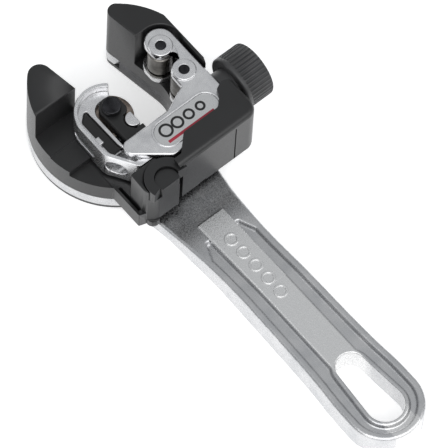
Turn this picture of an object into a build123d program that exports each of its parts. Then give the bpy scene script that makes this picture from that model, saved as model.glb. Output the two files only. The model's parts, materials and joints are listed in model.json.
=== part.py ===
from build123d import *
import math
import os

os.makedirs("parts", exist_ok=True)

# ---- driving dimensions, millimetres ----
# The origin is the ratchet's axis on the plane the tool rests on.
# +X runs along the handle to its grip, +Y to the feed knob, +Z up to the badge.

# tube throat: a round-ended slot that opens towards -X
THROAT_R = 16.9
THROAT_END = (3.5, 4.3)
THROAT_TILT = 9.0
THROAT_RUN = 70.0
LOWER_HORN_ROUND = 5.0
UPPER_HORN_ROUND = 3.5

# ratchet stack, from the rest plane up
RING_R = 36.3
RING_BORE_R = 28.4
FLANGE_R = 36.0
FLANGE_TOP = 2.2
RING_LOW = 2.5
RING_TOP = 8.2
BASE_LOW = 8.5
SADDLE_LOW = 9.0
FLOOR = 16.0
CRADLE_TOP = 39.5

# ratchet teeth and pawls
TOOTH_COUNT = 36
TOOTH_TIP_R = 28.05
TOOTH_ROOT_R = 26.2
PAWL_ANGLES = {"front_pawl": 60.0, "rear_pawl": -30.0}
PAWL_PIVOT_R = 31.2
PAWL_REACH = 20.0
PAWL_PIN_R = 1.2
PAWL_LOW = 3.5
PAWL_TOP = 7.1
POCKET_TOP = 7.4
COVER_TOP = 3.2
SCREW_RING_R = 25.0
SCREW_ANGLES = (0.0, 60.0, -60.0, -115.0)

# handle
HANDLE_TOP = 12.6
NECK_TOP = 8.2
NECK_LOW = 1.0
NECK_GAP_R = 36.8
GRIP_END_X = 165.3
GRIP_END_R = 16.8
GRIP_SIDE = [(28.0, 21.5), (45.0, 17.5), (60.0, 15.7), (75.0, 14.7), (105.0, 14.8), (145.0, 15.9)]
RAMP = [(54.0, 60.0), (98.0, 90.0)]
RIM_ROUND = 1.6
UNDER_ROUND = 1.0
BEAD_WIDTH = 3.4
PAD_HALF = 6.6
PAD_START = 57.4
PAD_LOW = 10.7
PAD_ROUND = 0.8
GROOVE_START = 62.0
GROOVE_FULL = 88.0
GROOVE_DEPTH = 2.3
SLOT_NEAR = (145.6, 6.3)
SLOT_FAR = (166.0, 8.0)
SLOT_LIP = 1.9
GROOVE_ROUND = 1.0
UNDER_GROOVE = 1.7
SLOT_ROUND = 0.6

# cutter frame: two plates joined by webs
PLATE_LOW = (16.0, 19.0)
PLATE_HIGH = (35.0, 38.0)
MID_Z = 27.0
ROLLER_PINS = {"front": (-2.6, 24.4), "rear": (11.7, 24.7)}
PIN_R = 2.2
RUNNING = 0.05
GAP = 0.3
ROLLER_R = 5.2
FRAME_BACK = 32.0
FRAME_SIDE = 38.8
BOSS_TOP = 38.8

# feed screw and knob, along +Y
SCREW_X = 24.4
SCREW_R = 2.0
JOURNAL_R = 3.0
SCREW_TIP = -4.5
SCREW_END = 48.0
SCREW_BORE_R = 4.0
KNOB_R = 12.1
KNOB_NEAR = 38.6
KNOB_FAR = 51.8
KNOB_COLLAR = 2.2
KNOB_RIBS = 40
RIB_CUT_R = 0.75
NECK_R = 8.2
NECK_START = 33.1

# hook slide, wheel carriage and wheel
HOOK_LOW = 19.3
HOOK_TOP = 34.7
LEDGE_TOP = 30.6
HOOK_FLOOR = 23.5
HOOK_SIDE = 33.0
HOOK_BACK = (5.4, -10.3)
HOOK_BACK_R = 13.1
HOOK_RIM = 1.7
GROOVE_FLOOR = 28.2
CLIP_X = 13.1
CLIP_HEIGHT = 2.7
SHANK_X = 21.4
SHANK_END = 9.8
WHEEL_X = 5.1
WHEEL_Y = -7.4
WHEEL_R = 9.3
WHEEL_PIN_R = 1.75
CARRIAGE_TOP = 33.4
AUTOFEED = 1.1
CAVITY_SIDE = -13.1
STOP_POST = (14.1, -3.6)
STOP_POST_R = 3.3
STOP_POST_FLAT = -2.4
SPRING_PLACES = [15.8, 19.2]
SPRING_ENDS = (-14.2, -9.6)

# gate and its hinge
HINGE = (44.5, -11.2)
BARREL_R = 5.0
CURL_R = 9.4
GATE_LOW = 11.4
LIP_LOW = 38.3
GATE_TOP = 39.8
GATE_FACE = 44.8
GATE_WALL_START = -3.0
GATE_ROUND = 2.4
KNUCKLE = (30.2, 37.0)
POST_FACE = 47.0
POST_LOW = 13.0
POST_TOP = 36.2

# badge field on the frame
BADGE_CENTRE = (29.4, 11.3)
BADGE_SIZE = (31.0, 11.4)


# ---- helpers ----
def outline(*corners):
    """A closed face whose corners are (x, y, corner radius)."""
    points = [(x, y) for x, y, r in corners]
    return make_face(FilletPolyline(*points, radius=[r for x, y, r in corners], close=True))


def area(x_low, x_high, y_low, y_high):
    """A rectangle between two corners."""
    centre = Pos((x_low + x_high) / 2, (y_low + y_high) / 2)
    return centre * Rectangle(x_high - x_low, y_high - y_low)


def block(face, low, high):
    """The face made solid between two heights."""
    return Pos(0, 0, low) * extrude(face, high - low, dir=(0, 0, 1))


def along_y(face, y_low, y_high):
    """A face drawn in X and Z made solid between two Y positions."""
    turned = Plane(origin=(0, y_low, 0), x_dir=(1, 0, 0), z_dir=(0, 1, 0))
    flipped = mirror(face, about=Plane.XZ)
    return extrude(turned * flipped, y_high - y_low, dir=(0, 1, 0))


def disc_y(x, z, radius, y_low, y_high):
    """A round bar along Y."""
    return along_y(Pos(x, z) * Circle(radius), y_low, y_high)


def column(centre, radius, low, high):
    """An upright round bar."""
    return block(Pos(*centre) * Circle(radius), low, high)


def polar(radius, angle):
    """A point at a radius and an angle in degrees about the ratchet's axis."""
    turn = math.radians(angle)
    return (radius * math.cos(turn), radius * math.sin(turn))


def level_edges(shape, height):
    """The edges that lie flat at one height."""
    return shape.edges().filter_by_position(Axis.Z, height - 0.01, height + 0.01)


def throat_face():
    """The tube throat in plan: a round end and two straight walls."""
    slot = Circle(THROAT_R) + Pos(-THROAT_RUN / 2, 0) * Rectangle(THROAT_RUN, 2 * THROAT_R)
    return Pos(*THROAT_END) * Rot(0, 0, THROAT_TILT) * slot


def open_ring(radius, lower_round=LOWER_HORN_ROUND, upper_round=UPPER_HORN_ROUND):
    """A disc with the throat cut out of it and its two mouth corners rounded."""
    face = Circle(radius) - throat_face()
    corners = face.vertices().filter_by_position(Axis.X, -radius, -0.6 * radius).sort_by(Axis.Y)
    face = fillet(corners[-1], upper_round)
    corners = face.vertices().filter_by_position(Axis.X, -radius, -0.6 * radius).sort_by(Axis.Y)
    return fillet(corners[0], lower_round)


# ---- handle and pawls ----
def side_profile(drop):
    """The handle's side view, with its top lowered by a drop."""
    (ramp_low, round_low), (ramp_high, round_high) = RAMP
    end = GRIP_END_X + GRIP_END_R + 2
    return outline(
        (20.0, NECK_LOW, 0),
        (ramp_low, NECK_LOW, 40.0),
        (ramp_low + 12.0, 0.0, 40.0),
        (end, 0.0, 0),
        (end, HANDLE_TOP - drop, 0),
        (ramp_high, HANDLE_TOP - drop, round_high),
        (ramp_low, NECK_TOP - drop, round_low),
        (20.0, NECK_TOP - drop, 0),
    )


def grip_face(inset):
    """The handle's plan, drawn in by an inset on all sides."""
    side = [(x, y - inset) for x, y in GRIP_SIDE] + [(GRIP_END_X, GRIP_END_R - inset)]
    upper = Spline(*side, tangents=[(1.0, -0.28), (1.0, 0.0)])
    end = RadiusArc(upper @ 1, (GRIP_END_X, inset - GRIP_END_R), GRIP_END_R - inset)
    lower = mirror(upper, about=Plane.XZ)
    back = Line(lower @ 0, upper @ 0)
    return make_face(upper + end + lower + back)


def hang_slot(extra):
    """The tapered hang slot in plan, made larger by an extra all round."""
    ends = [Pos(x, 0) * Circle(r + extra) for x, r in (SLOT_NEAR, SLOT_FAR)]
    return make_hull(ends[0].edges() + ends[1].edges())


def groove_face():
    """The sunk band between the handle's rim and its centre pad, pointed at the neck."""
    taper = outline(
        (GROOVE_START, PAD_HALF, 0),
        (GROOVE_FULL, GRIP_END_R, 0),
        (GRIP_END_X + GRIP_END_R, GRIP_END_R, 0),
        (GRIP_END_X + GRIP_END_R, -GRIP_END_R, 0),
        (GROOVE_FULL, -GRIP_END_R, 0),
        (GROOVE_START, -PAD_HALF, 0),
    )
    pad = area(GROOVE_START - 5, SLOT_NEAR[0], -PAD_HALF, PAD_HALF)
    return (grip_face(BEAD_WIDTH) & taper) - pad - hang_slot(SLOT_LIP)


def grip_pad():
    """The pad that stands up at the neck and runs out into the grip's top."""
    low = NECK_TOP - 2
    far = RAMP[1][0]
    rise = outline(
        (PAD_START, low, 0),
        (PAD_START + 1.0, PAD_LOW, 1.0),
        (far, HANDLE_TOP, 0),
        (far, low, 0),
    )
    pad = along_y(rise, -PAD_HALF, PAD_HALF)
    sides = pad.faces().sort_by(Axis.Y)
    edges = [edge for side in (sides[0], sides[-1]) for edge in side.edges()]
    upper = [edge for edge in edges if edge.center().Z > NECK_TOP + 1 and edge.center().X < far - 1]
    return fillet(upper, PAD_ROUND)


def side_edges(grip, low, high):
    """The long edges round the grip between two heights."""
    edges = grip.edges().filter_by_position(Axis.Z, low, high)
    return edges.filter_by_position(Axis.X, 30, 200).filter_by(GeomType.LINE, reverse=True)


def cut_and_round(body, tool, radius):
    """The body less a tool, with every new edge rounded."""
    carved = body - tool
    return fillet(new_edges(body, combined=carved), radius)


def pawl_pocket(angle):
    """The pocket in the ring for one pawl, in plan."""
    wide = Circle(34.3) - Circle(RING_BORE_R - 0.6)
    points = [(0, 0)] + [polar(60, angle + turn) for turn in (-28, -12, 4)]
    return wide & Polygon(*points, align=None)


def handle():
    """One casting: open yoke ring, neck and grip."""
    grip = extrude(grip_face(0), HANDLE_TOP)
    grip &= along_y(side_profile(0), -40, 40)
    grip = fillet(side_edges(grip, NECK_TOP - 0.5, HANDLE_TOP + 1), RIM_ROUND)
    grip = fillet(side_edges(grip, -1, NECK_LOW + 0.5), UNDER_ROUND)
    grip -= block(Circle(NECK_GAP_R), -1, RING_LOW)
    groove = extrude(groove_face(), HANDLE_TOP + 1)
    above = along_y(side_profile(GROOVE_DEPTH), -40, 40)
    grip = cut_and_round(grip, groove - above, GROOVE_ROUND) + grip_pad()
    grip -= block(groove_face(), -1, UNDER_GROOVE)
    grip = cut_and_round(grip, block(hang_slot(0), -1, HANDLE_TOP + 1), SLOT_ROUND)
    ring = block(open_ring(RING_R, UPPER_HORN_ROUND), RING_LOW, RING_TOP)
    body = grip + ring - block(Circle(RING_BORE_R), -1, HANDLE_TOP)
    for angle in PAWL_ANGLES.values():
        body -= block(pawl_pocket(angle), RING_LOW, POCKET_TOP)
        pivot = polar(PAWL_PIVOT_R, angle - PAWL_REACH)
        body -= column(pivot, PAWL_PIN_R, POCKET_TOP - 0.1, POCKET_TOP + 0.4)
    return body


def pawl(angle):
    """A pawl whose nose stands just clear of the tooth face at an angle."""
    nose = [(26.8, -1.0), (29.8, -0.8), (31.6, -8.0), (33.2, -18.0), (28.8, -19.0), (28.45, -10.0)]
    blade = Polygon(*[polar(r, angle + turn) for r, turn in nose], align=None)
    pivot = Pos(*polar(PAWL_PIVOT_R, angle - PAWL_REACH))
    body = block(blade, PAWL_LOW, PAWL_TOP) + block(pivot * Circle(2.3), PAWL_LOW, PAWL_TOP)
    return body - block(pivot * Circle(PAWL_PIN_R + RUNNING), PAWL_LOW, PAWL_TOP)


def pawl_spring(angle):
    """The bent leaf spring that presses a pawl to the teeth."""
    leaf = [(34.2, -25.0), (34.2, -13.5), (32.5, -6.6), (32.1, -7.0), (33.8, -14.2), (33.8, -25.0)]
    face = Polygon(*[polar(r, angle + turn) for r, turn in leaf], align=None)
    return block(face, PAWL_LOW + 0.4, PAWL_TOP - 0.4)


def pawl_covers():
    """The thin plates that close the pawl pockets from below."""
    covers = []
    for angle in PAWL_ANGLES.values():
        pivot = polar(PAWL_PIVOT_R, angle - PAWL_REACH)
        face = (pawl_pocket(angle) - Circle(RING_BORE_R)) - Pos(*pivot) * Circle(PAWL_PIN_R)
        covers.append(block(face, RING_LOW, COVER_TOP))
    return Compound(covers)


def pawl_pins():
    """The two pins that the pawls turn on."""
    pins = []
    for angle in PAWL_ANGLES.values():
        pivot = polar(PAWL_PIVOT_R, angle - PAWL_REACH)
        pins.append(column(pivot, PAWL_PIN_R, RING_LOW, POCKET_TOP + 0.4))
    return Compound(pins)


# ---- cradle: the part that turns in the ring ----
SCREW_PLACES = [polar(SCREW_RING_R, angle) for angle in SCREW_ANGLES]


def ratchet_gear():
    """The open toothed ring that runs inside the yoke."""
    pitch = 360.0 / TOOTH_COUNT
    points = []
    for tooth in range(TOOTH_COUNT):
        points.append(polar(TOOTH_ROOT_R, tooth * pitch))
        points.append(polar(TOOTH_TIP_R, tooth * pitch))
    mouth = area(-40, -20.0, -20.0, 20.0)
    face = Polygon(*points, align=None) - throat_face() - mouth
    for place in SCREW_PLACES:
        face -= Pos(*place) * Circle(1.5)
    return block(face, FLANGE_TOP, BASE_LOW)


def retainer_plate():
    """The open flange under the ring that keeps it on the cradle."""
    plate = block(open_ring(FLANGE_R, UPPER_HORN_ROUND), 0, FLANGE_TOP)
    plate = chamfer(level_edges(plate, 0).filter_by(GeomType.CIRCLE), 0.4)
    for place in SCREW_PLACES:
        plate -= column(place, 1.5, -1, FLANGE_TOP + 1)
        plate -= column(place, 2.9, -1, 1.4)
    return plate


def retainer_screws():
    """The screws that hold the flange and the toothed ring to the cradle."""
    screws = []
    for place in SCREW_PLACES:
        screw = column(place, 2.9, 0.2, 1.4) + column(place, 1.5, 1.4, 13.0)
        socket = Pos(*place, 0.2) * extrude(RegularPolygon(1.4, 6), 0.9)
        screws.append(screw - socket)
    return Compound(screws)


def cradle_arms():
    """The two upright horns of the cradle, one each side of the mouth."""
    ring = open_ring(RING_R)
    left = ring & area(-40, -8.8, -40, 0)
    x, y = ROLLER_PINS["front"]
    pocket = Pos(x, y) * Circle(9.3) + area(-11.9, 40, 0, y) + area(x, 40, 20, FRAME_BACK + 0.8)
    right = (ring & area(-40, 15.5, 10, FRAME_BACK + 2.0)) - pocket
    horns = []
    for face in (left, right):
        horn = block(face, BASE_LOW, CRADLE_TOP)
        thick = level_edges(horn, CRADLE_TOP).filter_by_position(Axis.X, -40, -8.8)
        horns.append(fillet(thick, 0.5))
    return horns


def cradle_tray():
    """The stepped floor beside the cutter, under the hook's free travel."""
    ring = open_ring(RING_R)
    panels = [(-9.0, 2.0, -14.0, 21.8), (2.0, 11.7, -13.0, 20.8), (11.7, 20.9, -13.5, 17.7)]
    panels.append((20.9, 33.9, -17.4, 17.7))
    return [block(ring & area(a, b, -40, edge), BASE_LOW, top) for a, b, edge, top in panels]


def hinge_post():
    """The block beside the cutter that carries the gate on a round barrel."""
    face = outline(
        (33.9, -21.4, 0.8),
        (POST_FACE, -21.9, 5.0),
        (POST_FACE, -6.3, 0.5),
        (36.6, -6.3, 0.4),
        (33.9, -9.6, 0.4),
    )
    post = block(face, POST_LOW, POST_TOP)
    post = fillet(level_edges(post, POST_TOP), 0.5)
    root = block(face & area(30, 42.5, -23, -6), SADDLE_LOW, POST_LOW)
    return post + root + column((44.8, -18.2), 2.9, SADDLE_LOW + 0.3, POST_LOW)


def hinge_barrel():
    """The round barrel that the gate's curls turn on, cut flat on its front."""
    barrel = column(HINGE, BARREL_R, POST_LOW, POST_TOP - 0.6)
    return barrel & block(area(0, POST_FACE, -30, 0), 0, CRADLE_TOP)


def cradle_shell():
    """The moulded cradle: base, tray, horns, saddle, wing and hinge post in one piece."""
    ring = open_ring(RING_R)
    shell = block(ring, BASE_LOW, FLOOR)
    saddle = outline(
        (12.0, -19.0, 0), (33.9, -19.0, 0), (39.6, -6.4, 1.0), (39.6, 31.5, 2.0), (12.0, 33.5, 0)
    )
    shell += block(saddle - throat_face(), SADDLE_LOW, FLOOR)
    wing = outline((20.0, -24.2, 0), (43.2, -24.2, 0.6), (44.6, -20.0, 0), (20.0, -18.0, 0))
    shell += block(wing, SADDLE_LOW, 18.0) - block(area(28.5, 41.5, -23.0, -21.6), 10.8, 19.0)
    for piece in cradle_arms() + cradle_tray():
        shell += piece
    shell += hinge_post()
    x, y = HINGE
    low, high = KNUCKLE
    shell -= column(HINGE, CURL_R + GAP, low - GAP, high + GAP)
    shell -= block(area(x, x + 20, y + BARREL_R, y + 12), low - GAP, high + GAP)
    shell += hinge_barrel()
    for place in SCREW_PLACES:
        shell -= column(place, 1.5, BASE_LOW - 1, 13.0)
    return shell


# ---- cutter frame ----
def plate_face():
    """The cutter frame's plate in plan."""
    return outline(
        (-10.8, FRAME_BACK, 6.4),
        (-10.8, 19.5, 5.8),
        (1.5, 19.5, 5.0),
        (3.0, 26.5, 1.7),
        (6.0, 26.5, 1.7),
        (7.6, 19.6, 5.0),
        (16.6, 19.4, 1.0),
        (17.6, 16.4, 6.0),
        (21.5, 8.5, 8.0),
        (21.5, -16.2, 3.0),
        (27.0, -17.0, 3.4),
        (FRAME_SIDE, -2.4, 3.0),
        (FRAME_SIDE, FRAME_BACK, 4.0),
    )


def badge_face(inset):
    """The round-ended badge field in plan."""
    length, width = (size - 2 * inset for size in BADGE_SIZE)
    return Pos(*BADGE_CENTRE) * Rot(0, 0, 90) * SlotOverall(length, width)


def cutter_frame():
    """The cutter's casting: two plates, the back wall, the spine and the screw's end wall."""
    face = plate_face()
    lower = block(face, *PLATE_LOW)
    upper = block(face, *PLATE_HIGH)
    upper = fillet(level_edges(upper, PLATE_HIGH[1]), 0.9)
    web = area(-4.0, FRAME_SIDE, 30.3, FRAME_BACK) + area(HOOK_SIDE + GAP, FRAME_SIDE, -10, 31)
    web += area(18.0, FRAME_SIDE, 27.5, FRAME_BACK) + area(17.6, 20.2, 17.0, 28.0)
    body = lower + upper + block(web & face, PLATE_LOW[1], PLATE_HIGH[0])
    for x, y in ROLLER_PINS.values():
        boss = fillet(level_edges(column((x, y), 4.9, 37.5, BOSS_TOP), BOSS_TOP), 0.5)
        body += boss
        body -= column((x, y), PIN_R, 10, 45)
    body -= block(badge_face(0), PLATE_HIGH[1] - 0.5, 45)
    body -= disc_y(SCREW_X, MID_Z, JOURNAL_R + RUNNING, 26, 33)
    return body


def badge():
    """The thin decorated plate set in the frame."""
    return block(badge_face(GAP), PLATE_HIGH[1] - 0.5, PLATE_HIGH[1] - 0.2)


def roller_pins():
    """The two riveted pins that the rollers turn on."""
    pins = []
    for place in ROLLER_PINS.values():
        pin = column(place, PIN_R, PLATE_LOW[0], BOSS_TOP - 0.2)
        pins.append(chamfer(level_edges(pin, BOSS_TOP - 0.2), 0.3))
    return Compound(pins)


def roller(name):
    """A plain tube roller with a clearance groove for a flared end."""
    low, high = PLATE_LOW[1] + GAP, PLATE_HIGH[0] - GAP
    body = column(ROLLER_PINS[name], ROLLER_R, low, high)
    body = chamfer(level_edges(body, low) + level_edges(body, high), 0.6)
    groove = column(ROLLER_PINS[name], 7, low + 2.2, low + 3.8)
    body -= groove - column(ROLLER_PINS[name], ROLLER_R - 1.0, low, high)
    return body - column(ROLLER_PINS[name], PIN_R + RUNNING, 0, 45)


# ---- feed screw and knob ----
def feed_screw():
    """The feed screw: threaded part, journal in the frame and end in the knob."""
    screw = disc_y(SCREW_X, MID_Z, SCREW_R, SCREW_TIP, 27.0)
    screw += disc_y(SCREW_X, MID_Z, JOURNAL_R, 26.4, SCREW_END)
    return screw - (disc_y(SCREW_X, MID_Z, 5, 26.7, 27.4) - disc_y(SCREW_X, MID_Z, 2.4, 26, 28))


def screw_clip():
    """The spring clip that keeps the screw in the frame."""
    ring = disc_y(SCREW_X, MID_Z, 4.0, 26.7, 27.3) - disc_y(SCREW_X, MID_Z, 2.4, 26, 28)
    return ring - Pos(SCREW_X, 27, MID_Z - 4) * Box(3.0, 3, 6)


def thrust_washer():
    """The washer that the knob bears on."""
    return disc_y(SCREW_X, MID_Z, 7.2, FRAME_BACK, 32.8) - disc_y(SCREW_X, MID_Z, 3.4, 31, 34)


def knob():
    """The ribbed knob with its collar and neck, drawn about its own axis and then put in place."""
    length = KNOB_FAR - KNOB_NEAR
    body = fillet(extrude(Circle(KNOB_R), length).edges(), 1.2)
    ribs = Sketch()
    for rib in range(KNOB_RIBS):
        ribs += Rot(0, 0, 360.0 * rib / KNOB_RIBS) * Pos(KNOB_R + 0.15, 0) * Circle(RIB_CUT_R)
    body -= Pos(0, 0, KNOB_COLLAR) * extrude(ribs, length)
    body -= Pos(0, 0, length - 1.0) * Cylinder(8.6, 4, align=(Align.CENTER, Align.CENTER, Align.MIN))
    reach = KNOB_NEAR - NECK_START
    body += Pos(0, 0, -reach) * extrude(Circle(NECK_R), reach)
    hole = Pos(0, 0, -reach - 1) * extrude(Circle(JOURNAL_R), reach + 1 + SCREW_END - KNOB_NEAR)
    place = Plane(origin=(SCREW_X, KNOB_NEAR, MID_Z), x_dir=(1, 0, 0), z_dir=(0, 1, 0))
    return place * (body - hole)


# ---- hook slide, carriage, wheel ----
def hook_outer(inset):
    """The hook's round back and side in plan, drawn in by an inset."""
    x, y = HOOK_BACK
    side = y - HOOK_BACK_R + inset
    body = outline(
        (x, side, 0),
        (20.5 - inset / 2, side, 7.0 - inset),
        (HOOK_SIDE - inset, -15.5 + inset / 2, 3.0),
        (HOOK_SIDE - inset, SHANK_END, 1.0),
        (x, SHANK_END, 0),
    )
    return body + Pos(*HOOK_BACK) * Circle(HOOK_BACK_R - inset)


def hook_face():
    """The hook slide in plan: the shank, the curved back and the tip."""
    tip, edge, floor = (-4.2, -1.6), (-1.2, -3.2), (-1.2, -8.5)
    far = [(SHANK_X, -8.5), (SHANK_X, 20.0), (-10.0, 20.0)]
    mouth = Polygon(floor, edge, tip, (-7.4, 0.1), (-10.0, 0.1), *reversed(far), align=None)
    return hook_outer(0) - mouth


def cavity_face():
    """The space in the hook that the wheel carriage slides in."""
    return outline((-1.2, 5.0, 0), (-1.2, CAVITY_SIDE, 5.0), (SHANK_X, CAVITY_SIDE, 0), (SHANK_X, 5.0, 0))


def groove_band(inset):
    """The wide curved groove behind the ledge, drawn in by an inset."""
    face = outline(
        (-1.4, -14.9, 0.8),
        (-1.4, -16.4, 0.8),
        (1.6, -19.8, 2.0),
        (19.0, -19.8, 6.0),
        (30.4, -13.6, 1.0),
        (30.4, -12.6, 0.4),
        (22.0, -12.6, 4.0),
        (18.4, -14.7, 4.0),
        (4.0, -14.9, 0),
    )
    return offset(face, -inset) if inset else face


def wheel_sweep(radius):
    """The wheel's plan over the carriage's travel."""
    low = WHEEL_Y - AUTOFEED
    ends = [Pos(WHEEL_X, WHEEL_Y) * Circle(radius), Pos(WHEEL_X, low) * Circle(radius)]
    return ends[0] + ends[1] + area(WHEEL_X - radius, WHEEL_X + radius, low, WHEEL_Y)


def hook_slide():
    """The casting that carries the wheel and slides in the frame."""
    body = block(hook_face(), HOOK_LOW, HOOK_TOP)
    body -= block(area(-20, 2.2, -40, 0), 0, 22.2) + block(area(-20, 12.0, -40, 0), 0, 21.2)
    body -= block(cavity_face(), HOOK_FLOOR, 45)
    inside = hook_outer(HOOK_RIM) & area(-10, 30, -23, 0)
    body -= block(inside - area(SHANK_X - 0.1, 40, CAVITY_SIDE, 40), LEDGE_TOP, 45)
    body -= block(groove_band(0), GROOVE_FLOOR, 45)
    body -= disc_y(SCREW_X, MID_Z, SCREW_R + RUNNING, -11, SHANK_END + 1)
    body -= disc_y(SCREW_X, MID_Z, SCREW_BORE_R, -30, -10.0)
    for x in SPRING_PLACES:
        body -= disc_y(x, MID_Z, 1.5, SPRING_ENDS[0], CAVITY_SIDE + 0.1)
    post = Pos(*STOP_POST) * Circle(STOP_POST_R) & area(0, 30, -12, STOP_POST_FLAT)
    x, y = STOP_POST
    rest = area(x - 2.0, x + 2.0, -9.0, y)
    body += block(post, HOOK_LOW + 2, HOOK_TOP - 0.7) + block(rest, HOOK_LOW, HOOK_FLOOR)
    body -= block(wheel_sweep(WHEEL_R + 0.4), MID_Z - 1.5, MID_Z + 1.1)
    body -= along_y(Pos(7.4, 24.6) * SlotOverall(13.4, 2.2), -26, -21)
    return body


def groove_cover():
    """The black moulded strip that closes the groove's floor."""
    return block(groove_band(0.1) & area(-5, 19.8, -25, -10), GROOVE_FLOOR, GROOVE_FLOOR + 0.9)


def spring_clip():
    """The small clip on the rim that keeps the groove's cover."""
    low = (Align.CENTER, Align.MIN, Align.MIN)
    y = HOOK_BACK[1] - HOOK_BACK_R + HOOK_RIM
    clip = Pos(CLIP_X, y, LEDGE_TOP) * Box(3.6, 2.5, CLIP_HEIGHT, align=low)
    clip = fillet(level_edges(clip, LEDGE_TOP + CLIP_HEIGHT), 0.6)
    return clip - Pos(CLIP_X, y + 1.2, LEDGE_TOP) * Box(5, 3, 1.2, align=low)


def carriage_face():
    """The wheel carriage in plan."""
    face = outline(
        (-0.5, -1.9, 4.9),
        (-0.5, -11.9, 4.9),
        (21.1, -11.9, 0.6),
        (21.1, -1.6, 0.6),
        (17.8, -1.6, 0),
        (17.8, -5.5, 0),
        (10.2, -5.5, 0),
        (10.2, -1.9, 3.2),
    )
    return face - Pos(*STOP_POST) * Circle(STOP_POST_R + GAP)


def wheel_carriage():
    """The sprung block that holds the wheel, slotted for it from the throat side."""
    body = block(carriage_face(), HOOK_FLOOR + GAP, CARRIAGE_TOP)
    body = fillet(level_edges(body, CARRIAGE_TOP), 0.5)
    body -= block(Pos(WHEEL_X, WHEEL_Y) * Circle(WHEEL_R + 0.4), MID_Z - 1.35, MID_Z + 1.35)
    body -= column((WHEEL_X, WHEEL_Y), WHEEL_PIN_R, 20, 40)
    for x in SPRING_PLACES:
        body -= disc_y(x, MID_Z, 1.5, -13, SPRING_ENDS[1])
    return body


def wheel_pin():
    """The headed pin that the wheel turns on."""
    place = (WHEEL_X, WHEEL_Y)
    head = fillet(level_edges(column(place, 3.9, CARRIAGE_TOP, 36.4), 36.4), 0.6)
    return head + column(place, WHEEL_PIN_R, HOOK_FLOOR + GAP, CARRIAGE_TOP)


def cutter_wheel():
    """The thin hardened wheel with a double bevel."""
    bore = WHEEL_PIN_R + RUNNING
    half = [(bore, 1.05), (3.4, 1.05), (3.8, 0.7), (7.6, 0.7), (WHEEL_R, 0.06)]
    section = half + [(r, -z) for r, z in reversed(half)]
    profile = Plane.XZ * Polygon(*section, align=None)
    return Pos(WHEEL_X, WHEEL_Y, MID_Z) * revolve(profile, Axis.Z)


def autofeed_springs():
    """The two springs behind the carriage, each kept as a plain sleeve."""
    sleeves = []
    for x in SPRING_PLACES:
        outer = disc_y(x, MID_Z, 1.2, *SPRING_ENDS)
        sleeves.append(outer - disc_y(x, MID_Z, 0.75, -17, -8))
    return Compound(sleeves)


# ---- gate ----
def gate():
    """The hinged clamp that closes over the frame."""
    lip = outline(
        (40.6, -4.8, 0.4),
        (40.6, -0.9, 1.0),
        (33.8, 6.0, 2.0),
        (33.8, 23.8, 2.0),
        (30.3, 27.4, 1.0),
        (27.2, 28.8, 1.0),
        (25.5, 32.4, 2.5),
        (26.8, 36.5, 2.6),
        (GATE_FACE, 36.5, 5.5),
        (GATE_FACE, -4.8, 0.4),
    )
    wall = lip & (area(41.0, 46, GATE_WALL_START, 40) + area(34.6, 46, 34.2, 40))
    envelope = outline((20, -8, 0), (GATE_FACE, -8, 0), (GATE_FACE, 36.5, 5.5), (20, 36.5, 0))
    body = block(envelope, GATE_LOW, GATE_TOP)
    outer = level_edges(body, GATE_TOP).filter_by_position(Axis.Y, 0, 40)
    body = fillet(outer.filter_by_position(Axis.X, 21, 46), GATE_ROUND)
    body &= block(wall, GATE_LOW, GATE_TOP) + block(lip, LIP_LOW, GATE_TOP)
    x, y = HINGE
    sector = Polygon(
        (x, y), (x + 3.2, y + 30), (x - 40, y + 30), (x - 40, y - 30), (x + 10.0, y - 30), align=None
    )
    curl = (Pos(x, y) * (Circle(CURL_R) - Circle(BARREL_R + GAP))) & sector
    body += block(curl, *KNUCKLE)
    body -= block(area(GATE_FACE - 0.8, 46, 24.0, 24.6), 11.5, 36.5)
    body -= block(area(GATE_FACE - 1.2, 46, 6.0, 9.6), 11.0, 12.0)
    return body


# ---- write each piece ----
PIECES = {
    "handle": handle,
    "front_pawl": lambda: pawl(PAWL_ANGLES["front_pawl"]),
    "rear_pawl": lambda: pawl(PAWL_ANGLES["rear_pawl"]),
    "front_pawl_spring": lambda: pawl_spring(PAWL_ANGLES["front_pawl"]),
    "rear_pawl_spring": lambda: pawl_spring(PAWL_ANGLES["rear_pawl"]),
    "pawl_covers": pawl_covers,
    "pawl_pins": pawl_pins,
    "ratchet_gear": ratchet_gear,
    "retainer_plate": retainer_plate,
    "retainer_screws": retainer_screws,
    "cradle_shell": cradle_shell,
    "cutter_frame": cutter_frame,
    "badge": badge,
    "roller_pins": roller_pins,
    "front_roller": lambda: roller("front"),
    "rear_roller": lambda: roller("rear"),
    "feed_screw": feed_screw,
    "screw_clip": screw_clip,
    "thrust_washer": thrust_washer,
    "knob": knob,
    "hook_slide": hook_slide,
    "groove_cover": groove_cover,
    "spring_clip": spring_clip,
    "autofeed_springs": autofeed_springs,
    "wheel_carriage": wheel_carriage,
    "wheel_pin": wheel_pin,
    "cutter_wheel": cutter_wheel,
    "gate": gate,
}

for name, make in PIECES.items():
    export_step(make(), f"parts/{name}.step")
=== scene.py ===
import json
import math

import bmesh
import bpy
from mathutils import Matrix, Vector


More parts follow.
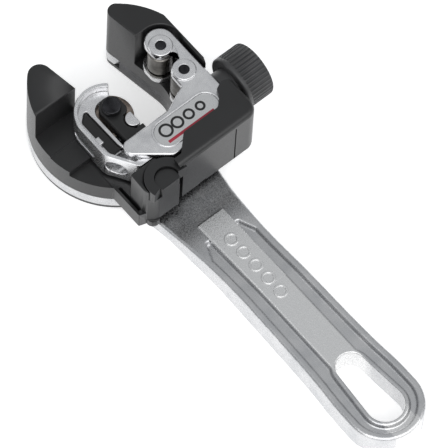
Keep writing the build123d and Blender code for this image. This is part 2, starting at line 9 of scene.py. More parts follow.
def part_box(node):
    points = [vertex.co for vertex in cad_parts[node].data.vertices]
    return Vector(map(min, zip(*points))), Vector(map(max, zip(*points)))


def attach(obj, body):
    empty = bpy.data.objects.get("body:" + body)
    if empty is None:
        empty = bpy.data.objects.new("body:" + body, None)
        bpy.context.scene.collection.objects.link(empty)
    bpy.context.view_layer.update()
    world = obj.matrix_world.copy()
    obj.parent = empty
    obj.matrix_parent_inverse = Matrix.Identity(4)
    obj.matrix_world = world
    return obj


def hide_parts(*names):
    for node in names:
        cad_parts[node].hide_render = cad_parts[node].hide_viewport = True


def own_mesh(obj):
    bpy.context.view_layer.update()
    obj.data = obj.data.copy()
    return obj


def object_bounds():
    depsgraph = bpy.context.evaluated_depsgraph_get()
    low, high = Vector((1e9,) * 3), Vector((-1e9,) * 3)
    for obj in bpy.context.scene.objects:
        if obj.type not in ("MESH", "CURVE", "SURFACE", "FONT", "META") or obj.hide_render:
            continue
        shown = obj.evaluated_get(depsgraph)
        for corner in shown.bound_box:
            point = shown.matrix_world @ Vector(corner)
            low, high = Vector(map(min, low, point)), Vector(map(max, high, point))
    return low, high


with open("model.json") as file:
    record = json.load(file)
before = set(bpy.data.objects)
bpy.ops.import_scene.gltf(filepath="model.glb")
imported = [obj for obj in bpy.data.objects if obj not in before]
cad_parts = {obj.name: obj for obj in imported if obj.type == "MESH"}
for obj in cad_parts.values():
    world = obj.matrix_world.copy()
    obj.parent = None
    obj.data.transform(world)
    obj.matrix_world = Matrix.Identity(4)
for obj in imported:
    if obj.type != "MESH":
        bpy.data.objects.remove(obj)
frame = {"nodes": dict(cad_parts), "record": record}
CAD_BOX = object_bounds()

bl_info = {
    "name": "Ratcheting Pipe Cutter",
    "version": (1, 0, 0),
    "blender": (4, 5, 0),
    "location": "View3D > Sidebar > Pipe Cutter",
    "description": "Builds the castings, mouldings, knob, badge and stage of a ratcheting pipe cutter",
    "category": "Object",
}

MM = 0.001
MERGE = 0.002 * MM
FLAT_ANGLE = math.radians(0.4)
SHARP_ANGLE = math.radians(32.0)

# sizes down to the stage's are in millimetres

# the grip's pad: its half width, its start, and its slope up to the level top
PAD_HALF = 6.6
PAD_START = 57.4
PAD_SLOPE = ((58.4, 10.7), (98.0, 12.6))
# how far a ring mark is sunk in what it stands on
RING_SEAT = 0.1
# the raised rings on the pad
GRIP_RING_START = 72.0
GRIP_RING_PITCH = 7.6
GRIP_RING_RADIUS = 3.0
GRIP_RING_WALL = 1.0
GRIP_RING_HEIGHT = 0.5
# the badge's raised rim, its row of ring marks and its stripe, placed from the badge's middle
RIM_MARGIN = 1.1
RIM_WALL = 0.9
RIM_HEIGHT = 0.62
MARK_START = -9.6
MARK_PITCH = 5.9
MARK_RADIUS = 3.1
MARK_SHRINK = 0.3
MARK_WALL = 1.0
MARK_SIDE = -1.3
INK_HEIGHT = 0.05
STRIPE_PLACE = (3.5, -0.3)
STRIPE_SIZE = (1.3, 23.4, 0.12)
# the feed screw: its lead, its threaded length with the run-out, and its thread's section
SCREW_LEAD = 2.0
THREAD_LENGTH = 30.4
THREAD_RUN_OUT = 2.2
THREAD = ((1.35, 0.1), (1.98, 0.7), (1.98, 1.1), (1.35, 1.7))
# each autofeed spring: the wire's radius, the coil's radius at the wire's middle, half the width
# that it takes up, and its turns
WIRE_R = 0.22
COIL_R = 0.96
SPRING_R = 1.2
SPRING_TURNS = 5.0

# the stage, in metres, and the camera's sensor in millimetres
TARGET = Vector((64.38, 2.54, 10.0)) * MM
SENSOR = 36.0
LIGHT_DISTANCE = 1.9
FLOOR_HALF = 3.0
FLOOR_GAP = 0.0002


# ---- colours and nodes ----
def linear(hex_colour):
    """An sRGB hex colour as linear red, green, blue and alpha."""
    channels = [int(hex_colour[i:i + 2], 16) / 255 for i in (1, 3, 5)]
    curve = [c / 12.92 if c <= 0.04045 else ((c + 0.055) / 1.055) ** 2.4 for c in channels]
    return (*curve, 1.0)


def per_mm(size):
    """The texture scale that makes one feature of a size in millimetres."""
    return 1.0 / (size * MM)


def add_node(tree, kind, inputs=None, **settings):
    """Adds a node, sets its attributes, and fills or links its inputs."""
    made = tree.nodes.new(kind)
    for key, value in settings.items():
        setattr(made, key, value)
    for key, value in (inputs or {}).items():
        if isinstance(value, bpy.types.NodeSocket):
            tree.links.new(value, made.inputs[key])
        else:
            made.inputs[key].default_value = value
    return made


def new_material(name, fixed):
    """A material with one shader, its fixed values, and Object coordinates."""
    material = bpy.data.materials.new(name)
    material.use_nodes = True
    tree = material.node_tree
    tree.nodes.clear()
    surface = add_node(tree, "ShaderNodeBsdfPrincipled", fixed)
    add_node(tree, "ShaderNodeOutputMaterial", {"Surface": surface.outputs["BSDF"]})
    place = add_node(tree, "ShaderNodeTexCoord").outputs["Object"]
    return material, tree, surface, place


def noise(tree, place, size, detail=3.0, rough=0.55):
    """Noise with features of a size in millimetres."""
    settings = {"Vector": place, "Scale": per_mm(size), "Detail": detail, "Roughness": rough}
    return add_node(tree, "ShaderNodeTexNoise", settings).outputs["Fac"]


def spread(tree, value, low, high, start=0.35, stop=0.65):
    """A value stretched from start..stop on to low..high."""
    settings = {"Value": value, "From Min": start, "From Max": stop, "To Min": low, "To Max": high}
    return add_node(tree, "ShaderNodeMapRange", settings).outputs["Result"]


def blend_colours(tree, factor, dark, light):
    """Two colours mixed by a factor."""
    mix = add_node(tree, "ShaderNodeMix", {"Factor": factor, 6: dark, 7: light}, data_type="RGBA")
    return mix.outputs[2]


def bump(tree, surface, height, depth, strength, under=None):
    """Relief of a depth in millimetres on a shader."""
    settings = {"Height": height, "Distance": depth * MM, "Strength": strength}
    if under is not None:
        settings["Normal"] = under
    normal = add_node(tree, "ShaderNodeBump", settings).outputs["Normal"]
    tree.links.new(normal, surface.inputs["Normal"])
    return normal


# ---- materials ----
def pad_mask(tree, place):
    """One over the grip's blasted pad, and nothing elsewhere: where the pad's painted light and its deeper
    grain go.
    """
    parts = add_node(tree, "ShaderNodeSeparateXYZ", {"Vector": place}).outputs
    across = add_node(tree, "ShaderNodeMath", {0: parts["Y"]}, operation="ABSOLUTE").outputs["Value"]
    inside = spread(tree, across, 1.0, 0.0, (PAD_HALF - 0.2) * MM, (PAD_HALF + 0.2) * MM)
    along = spread(tree, parts["X"], 0.0, 1.0, PAD_START * MM, (PAD_START + 1.0) * MM)
    return add_node(tree, "ShaderNodeMath", {0: inside, 1: along}, operation="MULTIPLY").outputs["Value"]


def blasted_aluminium(colours):
    """Sand-cast aluminium: softly shining on the rims, with a bead-blasted pad whose brighter colour is
    painted light.
    """
    material, tree, surface, place = new_material("blasted_cast_aluminium", {"Metallic": 1.0})
    # the real grain is about 0.2 mm and is drawn at 0.8 mm so that it shows
    grain = noise(tree, place, 0.8, 4.0, 0.75)
    patch = noise(tree, place, 9.0)
    pad = pad_mask(tree, place)
    colour = blend_colours(tree, spread(tree, patch, 0.0, 1.0), colours.metal_shade, colours.metal)
    # painted light: the pad gets a brighter colour than the rest of the handle, standing for the light it
    # catches while the neck lies in the cradle's shade; the pad's deeper grain below is its real blasted
    # finish
    colour = blend_colours(tree, pad, colour, colours.pad)
    tree.links.new(colour, surface.inputs["Base Color"])
    tree.links.new(spread(tree, grain, 0.2, 0.38), surface.inputs["Roughness"])
    depth = spread(tree, pad, 0.3, 1.0, 0.0, 1.0)
    relief = add_node(tree, "ShaderNodeMath", {0: grain, 1: depth}, operation="MULTIPLY")
    broad = bump(tree, surface, patch, 0.05, 0.25)
    bump(tree, surface, relief.outputs["Value"], 0.14, 0.8, broad)
    return material


def satin_zinc(colours):
    """Die-cast zinc, tumbled: brighter and finer than the handle, polished at its edges."""
    material, tree, surface, place = new_material("tumbled_zinc_casting", {"Metallic": 1.0})
    grain = noise(tree, place, 0.35, 3.0, 0.6)
    patch = noise(tree, place, 4.0)
    colour = blend_colours(tree, spread(tree, patch, 0.0, 1.0), colours.zinc_shade, colours.zinc)
    tree.links.new(colour, surface.inputs["Base Color"])
    tree.links.new(spread(tree, grain, 0.2, 0.34), surface.inputs["Roughness"])
    broad = bump(tree, surface, patch, 0.06, 0.3)
    bump(tree, surface, grain, 0.02, 0.5, broad)
    return material


def moulded_nylon(name, dark, light, rough):
    """Glass-filled nylon from a spark-eroded mould: near black, matt, with a fine even texture."""
    material, tree, surface, place = new_material(name, {"IOR": 1.55})
    # the mould's texture is about 0.1 mm and is drawn at 0.3 mm
    texture = noise(tree, place, 0.3, 2.0)
    flow = noise(tree, place, 12.0, 2.0)
    colour = blend_colours(tree, spread(tree, flow, 0.0, 1.0), dark, light)
    tree.links.new(colour, surface.inputs["Base Color"])
    tree.links.new(spread(tree, texture, rough - 0.06, rough + 0.06), surface.inputs["Roughness"])
    bump(tree, surface, texture, 0.02, 0.5)
    return material


def turned_steel(name, dark, light, rough, ring):
    """Steel turned on a lathe: fine tool rings about the upright axis, with a soft shine."""
    material, tree, surface, place = new_material(name, {"Metallic": 1.0})
    rings = add_node(tree, "ShaderNodeMapping", {"Vector": place, "Scale": (1.0, 1.0, 12.0)})
    lines = noise(tree, rings.outputs["Vector"], ring, 2.0)
    patch = noise(tree, place, 6.0, 2.0)
    colour = blend_colours(tree, spread(tree, patch, 0.0, 1.0), dark, light)
    tree.links.new(colour, surface.inputs["Base Color"])
    tree.links.new(spread(tree, lines, rough - 0.07, rough + 0.08), surface.inputs["Roughness"])
    bump(tree, surface, lines, 0.015, 0.4)
    return material


def badge_plate():
    """The badge's field: satin metal under a thin clear lacquer."""
    lacquer = {"Metallic": 1.0, "Coat Weight": 0.3, "Coat Roughness": 0.12}
    material, tree, surface, place = new_material("lacquered_badge", lacquer)
    brushed = add_node(tree, "ShaderNodeMapping", {"Vector": place, "Scale": (9.0, 1.0, 1.0)})
    lines = noise(tree, brushed.outputs["Vector"], 0.6, 3.0)
    light = blend_colours(tree, lines, linear("#c9cacb"), linear("#e6e6e6"))
    tree.links.new(light, surface.inputs["Base Color"])
    tree.links.new(spread(tree, lines, 0.26, 0.38), surface.inputs["Roughness"])
    return material


def printed_ink(name, dark, light):
    """Screen-printed ink: an even colour with a slight mottle and a low gloss."""
    material, tree, surface, place = new_material(name, {"IOR": 1.5})
    mottle = noise(tree, place, 0.8, 3.0)
    tree.links.new(blend_colours(tree, mottle, dark, light), surface.inputs["Base Color"])
    tree.links.new(spread(tree, mottle, 0.3, 0.42), surface.inputs["Roughness"])
    return material


def light_table(colour, glow):
    """The matt white sheet of a light table, with a very faint tone and a soft glow of its own."""
    fixed = {
        "Roughness": 0.9, "Specular IOR Level": 0.1, "Emission Color": colour, "Emission Strength": glow
    }
    material, tree, surface, place = new_material("light_table_sheet", fixed)
    tone = noise(tree, place, 60.0, 2.0)
    shade = tuple(channel * 0.985 for channel in colour[:3]) + (1.0,)
    tree.links.new(blend_colours(tree, tone, shade, colour), surface.inputs["Base Color"])
    return material


# each steel's name, dark tone, light tone, roughness and ring width in millimetres
STEELS = {
    # oil-blacked: nearly black, with a dull shine
    "oxide": ("black_oxide_steel", "#28282a", "#47474a", 0.32, 0.5),
    # bare from the lathe: a warm dark grey
    "roller": ("turned_roller_steel", "#55534f", "#7c7975", 0.3, 0.5),
    # bright zinc plate: pale and clean, the glossiest of the steels
    "plated": ("zinc_plated_steel", "#9fa1a4", "#cfd0d2", 0.26, 0.6),
    # drawn spring wire: a cool middle grey with fine marks
    "wire": ("drawn_spring_wire", "#84858a", "#b3b4b8", 0.3, 0.4),
}
MATERIALS = {}


def material(name):
    """A finish by name, made once from the panel's colours."""
    if not MATERIALS:
        colours = bpy.context.scene.cutter_finish
        MATERIALS["aluminium"] = blasted_aluminium(colours)
        MATERIALS["zinc"] = satin_zinc(colours)
        shade = tuple(channel * 0.8 for channel in colours.nylon[:3]) + (1.0,)
        MATERIALS["nylon"] = moulded_nylon("glass_filled_nylon", shade, colours.nylon, 0.38)
        MATERIALS["knob"] = moulded_nylon("knob_abs", linear("#343435"), colours.knob, 0.4)
        MATERIALS["carrier"] = moulded_nylon(
            "moulded_acetal", linear("#0b0b0c"), linear("#121213"), 0.4
        )
        for key, (steel, dark, light, rough, ring) in STEELS.items():
            MATERIALS[key] = turned_steel(steel, linear(dark), linear(light), rough, ring)
        MATERIALS["wheel"] = turned_steel(
            "ground_tool_steel", linear("#756b64"), colours.wheel, 0.3, 0.5
        )
        MATERIALS["badge"] = badge_plate()
        MATERIALS["black_ink"] = printed_ink("black_badge_ink", linear("#0d0d0e"), linear("#19191a"))
        MATERIALS["red_ink"] = printed_ink("crimson_badge_ink", linear("#8c1f30"), colours.stripe)
    return MATERIALS[name]


# ---- mesh helpers ----
def new_piece(name, form, finish, body, slot):
    """Makes an object from a bmesh, and gives it its finish and body; the record slot is not used."""
    mesh = bpy.data.meshes.new(name)
    form.to_mesh(mesh)
    form.free()
    piece = bpy.data.objects.new(name, mesh)
    bpy.context.scene.collection.objects.link(piece)
    piece.data.materials.append(material(finish))
    for face in mesh.polygons:
        face.use_smooth = True
    mesh.set_sharp_from_angle(angle=SHARP_ANGLE)
    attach(piece, body)
    return piece


def round_edges(piece, width, segments=3):
    """Rounds a piece's sharp edges by a width in millimetres."""
    bevel = piece.modifiers.new("edge_rounding", "BEVEL")
    bevel.width = width * MM
    bevel.segments = segments
    bevel.limit_method = "ANGLE"
    bevel.angle_limit = SHARP_ANGLE
    bevel.use_clamp_overlap = False
    bevel.harden_normals = True


def merged_copy(node):
    """A bmesh of a CAD node with its doubles merged and its flat faces made whole."""
    form = bmesh.new()
    form.from_mesh(frame["nodes"][node].data)
    bmesh.ops.remove_doubles(form, verts=form.verts, dist=MERGE)
    bmesh.ops.dissolve_limit(
        form, angle_limit=FLAT_ANGLE, verts=form.verts, edges=form.edges, use_dissolve_boundaries=False
    )
    return form


def node_body(node):
    """The body that a CAD node rides on, and its record slot."""
    record = frame["record"]
    bodies = record["behaviour"]["bodies"]
    body = next(name for name, nodes in bodies.items() if node in nodes)
    slot = next(part["material_slot"] for part in record["subparts"] if part["node"] == node)
    return body, slot


def finished_copy(node, name, finish, rounding=0.0):
    """A CAD node made again with its finish, and rounded edges if asked, standing for the node."""
    piece = new_piece(name, merged_copy(node), finish, *node_body(node))
    if rounding:
        round_edges(piece, rounding)
    else:
        level = piece.modifiers.new("level_faces", "WEIGHTED_NORMAL")
        level.keep_sharp = True
        level.weight = 80
    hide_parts(node)


def wound(form, profile, place, turns=1.0, pitch=0.0, steps=64):
    """Adds a closed profile of (radius, height) points, turned or wound about the Z axis."""
    old = set(form.verts)
    points = [form.verts.new((r * MM, 0.0, z * MM)) for r, z in profile]
    edges = [form.edges.new(pair) for pair in zip(points, points[1:] + points[:1])]
    bmesh.ops.spin(
        form, geom=points + edges, cent=(0, 0, 0), axis=(0, 0, 1), angle=math.tau * turns,
        dvec=(0, 0, pitch / steps * MM), steps=round(steps * turns), use_merge=not pitch,
        use_duplicate=False,
    )
    if pitch:
        ends = [edge for edge in form.edges if edge.is_boundary]
        bmesh.ops.holes_fill(form, edges=ends, sides=len(profile))
    made = [vert for vert in form.verts if vert not in old]
    bmesh.ops.transform(form, matrix=place, verts=made)


def round_profile(radius, height, wire, sides=10):
    """A round wire's section in millimetres, at a radius from the axis."""
    turns = [math.tau * side / sides for side in range(sides)]
    return [(radius + wire * math.cos(turn), height + wire * math.sin(turn)) for turn in turns]


def closed_up(form):
    """Merges a form's doubles and turns its faces outwards."""
    bmesh.ops.remove_doubles(form, verts=form.verts, dist=MERGE)
    bmesh.ops.recalc_face_normals(form, faces=form.faces)
    return form


def upright(x, y, z, tilt=0.0):
    """Stands a form at a place in millimetres, tilted about its Y axis."""
    return Matrix.Translation(Vector((x, y, z)) * MM) @ Matrix.Rotation(tilt, 4, "Y")


def pad_place(x):
    """Where a mark stands on the grip's pad, at a distance along it."""
    (near, low), (far, high) = PAD_SLOPE
    slope = (high - low) / (far - near)
    if x >= far:
        return upright(x, 0, high)
    return upright(x, 0, low + slope * (x - near), -math.atan(slope))


def along_screw(x, y, z):
    """Lays a form's Z axis along the feed screw, at a place in millimetres."""
    return Matrix.Translation(Vector((x, y, z)) * MM) @ Matrix.Rotation(-math.pi / 2, 4, "X")


def stadium_loop(form, length, width):
    """A round-ended loop of edges in millimetres, long in Y, about the origin."""
    radius = width / 2 * MM
    ring = bmesh.ops.create_circle(form, cap_ends=False, segments=64, radius=radius)["verts"]
    # a vertex on the X axis goes with one end only, so the sides are a few hundredths out of true
    reach = (length - width) / 2 * MM
    for vert in ring:
        vert.co.y += math.copysign(reach, vert.co.y)
    return list({edge for vert in ring for edge in vert.link_edges})


def stadium_rim(length, width, wall, low, high):
    """A round-ended rim of a wall thickness, between two heights in millimetres."""
    form = bmesh.new()
    edges = stadium_loop(form, length, width) + stadium_loop(form, length - 2 * wall, width - 2 * wall)
    faces = bmesh.ops.bridge_loops(form, edges=edges)["faces"]
    made = bmesh.ops.extrude_face_region(form, geom=faces)["geom"]
    top = [item for item in made if isinstance(item, bmesh.types.BMVert)]
    bmesh.ops.translate(form, verts=form.verts, vec=(0, 0, low * MM))
    bmesh.ops.translate(form, verts=top, vec=(0, 0, (high - low) * MM))
    return closed_up(form)


def ring_marks(marks, thickness, depth, place):
    """Flat rings of (distance, radius) in millimetres, each put at a place for its distance."""
    form = bmesh.new()
    for distance, radius in marks:
        inner = radius - thickness
        profile = [(inner, -RING_SEAT), (radius, -RING_SEAT), (radius, depth), (inner, depth)]
        wound(form, profile, place(distance))
    return closed_up(form)


def slab(centre, size, rounding):
    """A block with rounded edges, from its centre and size in millimetres."""
    form = bmesh.new()
    scale = Matrix.Diagonal((*(Vector(size) * MM), 1.0))
    bmesh.ops.create_cube(form, size=1.0, matrix=Matrix.Translation(Vector(centre) * MM) @ scale)
    bmesh.ops.bevel(
        form, geom=form.edges[:], offset=rounding * MM, offset_type="OFFSET", affect="EDGES",
        segments=2, profile=0.5, material=-1,
    )
    return closed_up(form)


# ---- settings ----
class CutterFinish(bpy.types.PropertyGroup):
    """Colours of the cutter's finishes."""

    metal: bpy.props.FloatVectorProperty(
        name="Handle", description="Colour of the blasted aluminium",
        default=linear("#d0d0d1"), size=4, subtype="COLOR", min=0.0, max=1.0,
    )
    metal_shade: bpy.props.FloatVectorProperty(
        name="Handle shade", description="Darker tone of the blasted aluminium",
        default=linear("#c2c3c5"), size=4, subtype="COLOR", min=0.0, max=1.0,
    )
    # the pad's brighter colour is painted light, standing for the light the pad catches
    pad: bpy.props.FloatVectorProperty(
        name="Grip pad", description="Colour of the grip's blasted pad",
        default=linear("#e6e6e6"), size=4, subtype="COLOR", min=0.0, max=1.0,
    )
    zinc: bpy.props.FloatVectorProperty(
        name="Zinc", description="Colour of the cutter's castings",
        default=linear("#e8e8e9"), size=4, subtype="COLOR", min=0.0, max=1.0,
    )
    zinc_shade: bpy.props.FloatVectorProperty(
        name="Zinc shade", description="Darker tone of the cutter's castings",
        default=linear("#d8d8da"), size=4, subtype="COLOR", min=0.0, max=1.0,
    )
    nylon: bpy.props.FloatVectorProperty(
        name="Nylon", description="Colour of the cradle and gate",
        default=linear("#1b1b1c"), size=4, subtype="COLOR", min=0.0, max=1.0,
    )
    knob: bpy.props.FloatVectorProperty(
        name="Knob", description="Colour of the feed knob",
        default=linear("#434344"), size=4, subtype="COLOR", min=0.0, max=1.0,
    )
    wheel: bpy.props.FloatVectorProperty(
        name="Wheel", description="Colour of the cutting wheel",
        default=linear("#a3978e"), size=4, subtype="COLOR", min=0.0, max=1.0,
    )
    stripe: bpy.props.FloatVectorProperty(
        name="Stripe", description="Colour of the badge's stripe",
        default=linear("#b02a3f"), size=4, subtype="COLOR", min=0.0, max=1.0,
    )


class CutterDetail(bpy.types.PropertyGroup):
    """Sizes of the cutter's fine details."""

    hook_round: bpy.props.FloatProperty(
        name="Hook edges", description="Rounding of the hook casting's edges in millimetres",
        default=0.35, min=0.05, max=1.0,
    )
    grip_rings: bpy.props.IntProperty(
        name="Grip rings", description="Number of raised rings on the grip's pad", default=5, min=0, max=8,
    )
    size_marks: bpy.props.IntProperty(
        name="Size marks", description="Number of ring marks on the badge", default=4, min=0, max=4,
    )


class CutterStage(bpy.types.PropertyGroup):
    """The camera and the light."""

    azimuth: bpy.props.FloatProperty(
        name="Azimuth", description="Turn of the camera about the upright axis",
        default=math.radians(46.4), subtype="ANGLE",
    )
    elevation: bpy.props.FloatProperty(
        name="Elevation", description="Height of the camera above level",
        default=math.radians(62.9), subtype="ANGLE",
    )
    roll: bpy.props.FloatProperty(
        name="Roll", description="Turn of the camera about its own line of sight",
        default=math.radians(4.03), subtype="ANGLE",
    )
    distance: bpy.props.FloatProperty(
        name="Distance", description="Distance of the camera from the tool", default=2.5, unit="LENGTH",
    )
    field: bpy.props.FloatProperty(
        name="Field", description="Width of the view at the tool", default=0.1792, unit="LENGTH",
    )
    sheet: bpy.props.FloatVectorProperty(
        name="Sheet", description="Colour of the light table's sheet",
        default=linear("#f8f8f8"), size=4, subtype="COLOR", min=0.0, max=1.0,
    )
    glow: bpy.props.FloatProperty(
        name="Glow", description="Brightness of the light table's own light", default=0.5, min=0.0,
    )
    horizon: bpy.props.FloatProperty(
        name="Horizon", description="Brightness of the room at eye level", default=0.42, min=0.0,
    )
    ceiling: bpy.props.FloatProperty(
        name="Ceiling", description="Brightness of the room overhead", default=0.66, min=0.0,
    )
    front: bpy.props.FloatProperty(
        name="Front light", description="Power of the light at the front in watts", default=22.0,
        min=0.0,
    )
    side: bpy.props.FloatProperty(
        name="Side light", description="Power of the light at the knob's side in watts", default=8.0,
        min=0.0,
    )


# ---- operators ----
class OBJECT_OT_cutter_handle(bpy.types.Operator):
    """Builds the cast handle and the raised rings on its pad"""

    bl_idname = "object.cutter_handle"
    bl_label = "Cast handle"

    def execute(self, context):
        detail = context.scene.cutter_detail
        finished_copy("handle", "handle_casting", "aluminium")
        marks = [
            (GRIP_RING_START + GRIP_RING_PITCH * step, GRIP_RING_RADIUS)
            for step in range(detail.grip_rings)
        ]
        emblem = ring_marks(marks, GRIP_RING_WALL, GRIP_RING_HEIGHT, pad_place)
        piece = new_piece("grip_emblem", emblem, "aluminium", "handle", "cast_aluminium")
        round_edges(piece, width=0.25, segments=2)
        return {"FINISHED"}


class OBJECT_OT_cutter_cradle(bpy.types.Operator):
    """Builds the black mouldings: cradle, flange and gate"""

    bl_idname = "object.cutter_cradle"
    bl_label = "Cradle and gate"

    def execute(self, context):
        finished_copy("cradle_shell", "cradle_moulding", "nylon")
        finished_copy("retainer_plate", "retainer_flange", "nylon")
        finished_copy("gate", "gate_moulding", "nylon")
        return {"FINISHED"}


class OBJECT_OT_cutter_frame(bpy.types.Operator):
    """Builds the cutter's frame, its hook with the clip and strip, and the wheel's carrier"""

    bl_idname = "object.cutter_frame"
    bl_label = "Cutter castings"

    def execute(self, context):
        hook_round = context.scene.cutter_detail.hook_round
        finished_copy("cutter_frame", "frame_casting", "zinc", rounding=0.3)
        finished_copy("hook_slide", "hook_casting", "zinc", rounding=hook_round)
        finished_copy("spring_clip", "rim_clip", "zinc", rounding=0.15)
        finished_copy("wheel_carriage", "wheel_carrier", "carrier", rounding=0.25)
        finished_copy("groove_cover", "groove_strip", "carrier", rounding=0.15)
        return {"FINISHED"}


class OBJECT_OT_cutter_badge(bpy.types.Operator):
    """Builds the badge: its rim, ring marks and stripe"""

    bl_idname = "object.cutter_badge"
    bl_label = "Badge"

    def execute(self, context):
        detail = context.scene.cutter_detail
        low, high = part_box("badge")
        centre = (low + high) / 2 / MM
        top = high.z / MM
        finished_copy("badge", "badge_field", "badge")
        width, length = ((high - low).xy / MM)[:]
        spare = 2 * RIM_MARGIN
        rim = stadium_rim(length + spare, width + spare, RIM_WALL, top, top + RIM_HEIGHT)
        bmesh.ops.translate(rim, verts=rim.verts, vec=(centre.x * MM, centre.y * MM, 0))
        round_edges(new_piece("badge_rim", rim, "zinc", "cradle", "zinc_casting"), width=0.28)
        marks = [
            (centre.y + MARK_START + MARK_PITCH * step, MARK_RADIUS - MARK_SHRINK * step)
            for step in range(detail.size_marks)
        ]
        rings = ring_marks(marks, MARK_WALL, INK_HEIGHT, lambda y: upright(centre.x + MARK_SIDE, y, top))
        new_piece("badge_rings", rings, "black_ink", "cradle", "badge_paint")
        place = (centre.x + STRIPE_PLACE[0], centre.y + STRIPE_PLACE[1], top)
        stripe = slab(place, STRIPE_SIZE, rounding=0.03)
        new_piece("badge_stripe", stripe, "red_ink", "cradle", "badge_paint")
        return {"FINISHED"}


class OBJECT_OT_cutter_screw(bpy.types.Operator):
    """Builds the feed screw with its thread, and the two wound autofeed springs"""

    bl_idname = "object.cutter_screw"
    bl_label = "Feed screw and springs"

    def execute(self, context):
        low, high = (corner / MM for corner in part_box("feed_screw"))
        centre = (low + high) / 2
        end = high.y - low.y
        core = [
            (0.0, 0.3), (1.2, 0.3), (1.5, 0.8), (1.5, THREAD_LENGTH), (2.7, THREAD_LENGTH),
            (3.0, THREAD_LENGTH + 0.5), (3.0, end - 0.4), (2.6, end), (0.0, end),
        ]
        form = bmesh.new()
        wound(form, core, along_screw(centre.x, low.y, centre.z))
        turns = (THREAD_LENGTH - THREAD_RUN_OUT) / SCREW_LEAD
        wound(form, THREAD, along_screw(centre.x, low.y + 0.4, centre.z), turns, SCREW_LEAD, 24)
        screw = new_piece("threaded_feed_screw", closed_up(form), "plated", "knob", "bright_steel")
        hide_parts("feed_screw")
        low, high = (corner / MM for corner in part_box("autofeed_springs"))
        pitch = (high.y - low.y - 2 * WIRE_R) / SPRING_TURNS
        form = bmesh.new()
        for x in (low.x + SPRING_R, high.x - SPRING_R):
            place = along_screw(x, low.y, (low.z + high.z) / 2)
            wound(form, round_profile(COIL_R, WIRE_R, WIRE_R), place, SPRING_TURNS, pitch, 20)
        springs = new_piece("wound_autofeed_springs", closed_up(form), "wire", "hook", "spring_steel")
        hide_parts("autofeed_springs")
        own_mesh(springs)
        return {"FINISHED"}


class OBJECT_OT_cutter_ratchet(bpy.types.Operator):
    """Finishes the ratchet, rollers, pins, wheel, washer, clip and knob"""

    bl_idname = "object.cutter_ratchet"
    bl_label = "Ratchet and turned pieces"

    def execute(self, context):
        finishes = {
            "ratchet_gear": "oxide", "front_pawl": "oxide", "rear_pawl": "oxide",
            "front_pawl_spring": "wire", "rear_pawl_spring": "wire",
            "pawl_covers": "plated", "pawl_pins": "plated", "retainer_screws": "oxide",
            "roller_pins": "oxide", "front_roller": "roller", "rear_roller": "roller",
            "wheel_pin": "oxide", "cutter_wheel": "wheel",
            "screw_clip": "wire", "thrust_washer": "plated", "knob": "knob",
        }
        for node, finish in finishes.items():
            finished_copy(node, "fine_" + node, finish)
        return {"FINISHED"}


class OBJECT_OT_cutter_stage(bpy.types.Operator):
    """Sets the camera, the light table and the soft light"""

    bl_idname = "object.cutter_stage"
    bl_label = "Stage"

    def execute(self, context):
        stage = context.scene.cutter_stage
        add_camera(stage)
        add_floor(stage)
        add_room(stage)
        add_lights(stage)
        context.scene.view_settings.view_transform = "Standard"
        return {"FINISHED"}


# ---- stage ----
def add_camera(stage):
    """A long lens at the set angle, aimed at the middle of the tool."""
    data = bpy.data.cameras.new("camera")
    data.sensor_width = SENSOR
    data.lens = SENSOR * stage.distance / stage.field
    data.clip_end = 20.0
    turn, tilt, roll = stage.azimuth, stage.elevation, stage.roll
    back = Vector((
        math.sin(turn) * math.cos(tilt), -math.cos(turn) * math.cos(tilt), math.sin(tilt)
    ))
    level = Vector((math.cos(turn), math.sin(turn), 0.0))
    above = back.cross(level)
    right = level * math.cos(roll) + above * math.sin(roll)
    up = back.cross(right)
    camera = bpy.data.objects.new("camera", data)
    turned = Matrix((right, up, back)).transposed().to_4x4()
    camera.matrix_world = Matrix.Translation(TARGET + back * stage.distance) @ turned
    bpy.context.scene.collection.objects.link(camera)
    bpy.context.scene.camera = camera


def add_floor(stage):
    """A wide light table under the tool."""
    form = bmesh.new()
    bmesh.ops.create_grid(form, x_segments=1, y_segments=1, size=FLOOR_HALF)
    bmesh.ops.translate(form, verts=form.verts, vec=(0, 0, CAD_BOX[0][2] - FLOOR_GAP))
    mesh = bpy.data.meshes.new("floor")
    form.to_mesh(mesh)
    form.free()
    floor = bpy.data.objects.new("floor", mesh)
    bpy.context.scene.collection.objects.link(floor)
    floor.data.materials.append(light_table(stage.sheet, stage.glow))


def add_light(name, toward, size, power):
    """A square soft box in a direction from the tool, facing it."""
    data = bpy.data.lights.new(name, "AREA")
    data.shape = "SQUARE"
    data.size = size
    data.energy = power
    light = bpy.data.objects.new(name, data)
    place = TARGET + Vector(toward).normalized() * LIGHT_DISTANCE
    light.rotation_mode = "QUATERNION"
    light.rotation_quaternion = (TARGET - place).to_track_quat("-Z", "Y")
    light.location = place
    bpy.context.scene.collection.objects.link(light)


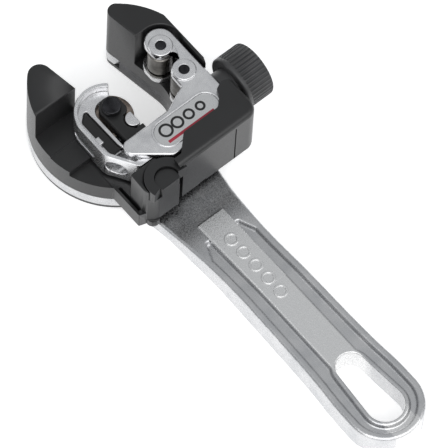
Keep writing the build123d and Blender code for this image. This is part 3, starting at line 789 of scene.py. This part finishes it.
def add_room(stage):
    """A studio that is dim at eye level and pale overhead."""
    world = bpy.data.worlds.new("pale_room")
    bpy.context.scene.world = world
    world.use_nodes = True
    tree = world.node_tree
    sky = tree.nodes["Background"]
    way = add_node(tree, "ShaderNodeTexCoord").outputs["Generated"]
    height = add_node(tree, "ShaderNodeSeparateXYZ", {"Vector": way}).outputs["Z"]
    strength = spread(tree, height, stage.horizon, stage.ceiling, 0.15, 0.95)
    tree.links.new(strength, sky.inputs["Strength"])
    sky.inputs["Color"].default_value = linear("#f4f6f8")


def add_lights(stage):
    """A broad light from the front and a weaker one from the knob's side."""
    add_light("front_light", toward=(0.62, -0.6, 0.85), size=2.2, power=stage.front)
    add_light("side_light", toward=(0.9, 0.55, 0.8), size=1.6, power=stage.side)


# ---- panel ----
class VIEW3D_PT_cutter(bpy.types.Panel):
    """Settings and steps for the pipe cutter"""

    bl_label = "Pipe Cutter"
    bl_idname = "VIEW3D_PT_cutter"
    bl_space_type = "VIEW_3D"
    bl_region_type = "UI"
    bl_category = "Pipe Cutter"

    def draw(self, context):
        for group in SETTINGS:
            settings = getattr(context.scene, group)
            box = self.layout.box()
            for name in settings.__annotations__:
                box.prop(settings, name)
        for step in STEPS:
            self.layout.operator(step.bl_idname)


SETTINGS = {"cutter_finish": CutterFinish, "cutter_detail": CutterDetail, "cutter_stage": CutterStage}
STEPS = (
    OBJECT_OT_cutter_handle,
    OBJECT_OT_cutter_cradle,
    OBJECT_OT_cutter_frame,
    OBJECT_OT_cutter_badge,
    OBJECT_OT_cutter_screw,
    OBJECT_OT_cutter_ratchet,
    OBJECT_OT_cutter_stage,
)


def register():
    for cls in (*SETTINGS.values(), *STEPS, VIEW3D_PT_cutter):
        bpy.utils.register_class(cls)
    for name, cls in SETTINGS.items():
        setattr(bpy.types.Scene, name, bpy.props.PointerProperty(type=cls))


def unregister():
    for name in SETTINGS:
        delattr(bpy.types.Scene, name)
    for cls in reversed((*SETTINGS.values(), *STEPS, VIEW3D_PT_cutter)):
        bpy.utils.unregister_class(cls)


def main():
    register()
    bpy.ops.object.cutter_handle()
    bpy.ops.object.cutter_cradle()
    bpy.ops.object.cutter_frame()
    bpy.ops.object.cutter_badge()
    bpy.ops.object.cutter_screw()
    bpy.ops.object.cutter_ratchet()
    bpy.ops.object.cutter_stage()


if __name__ == "__main__":
    main()
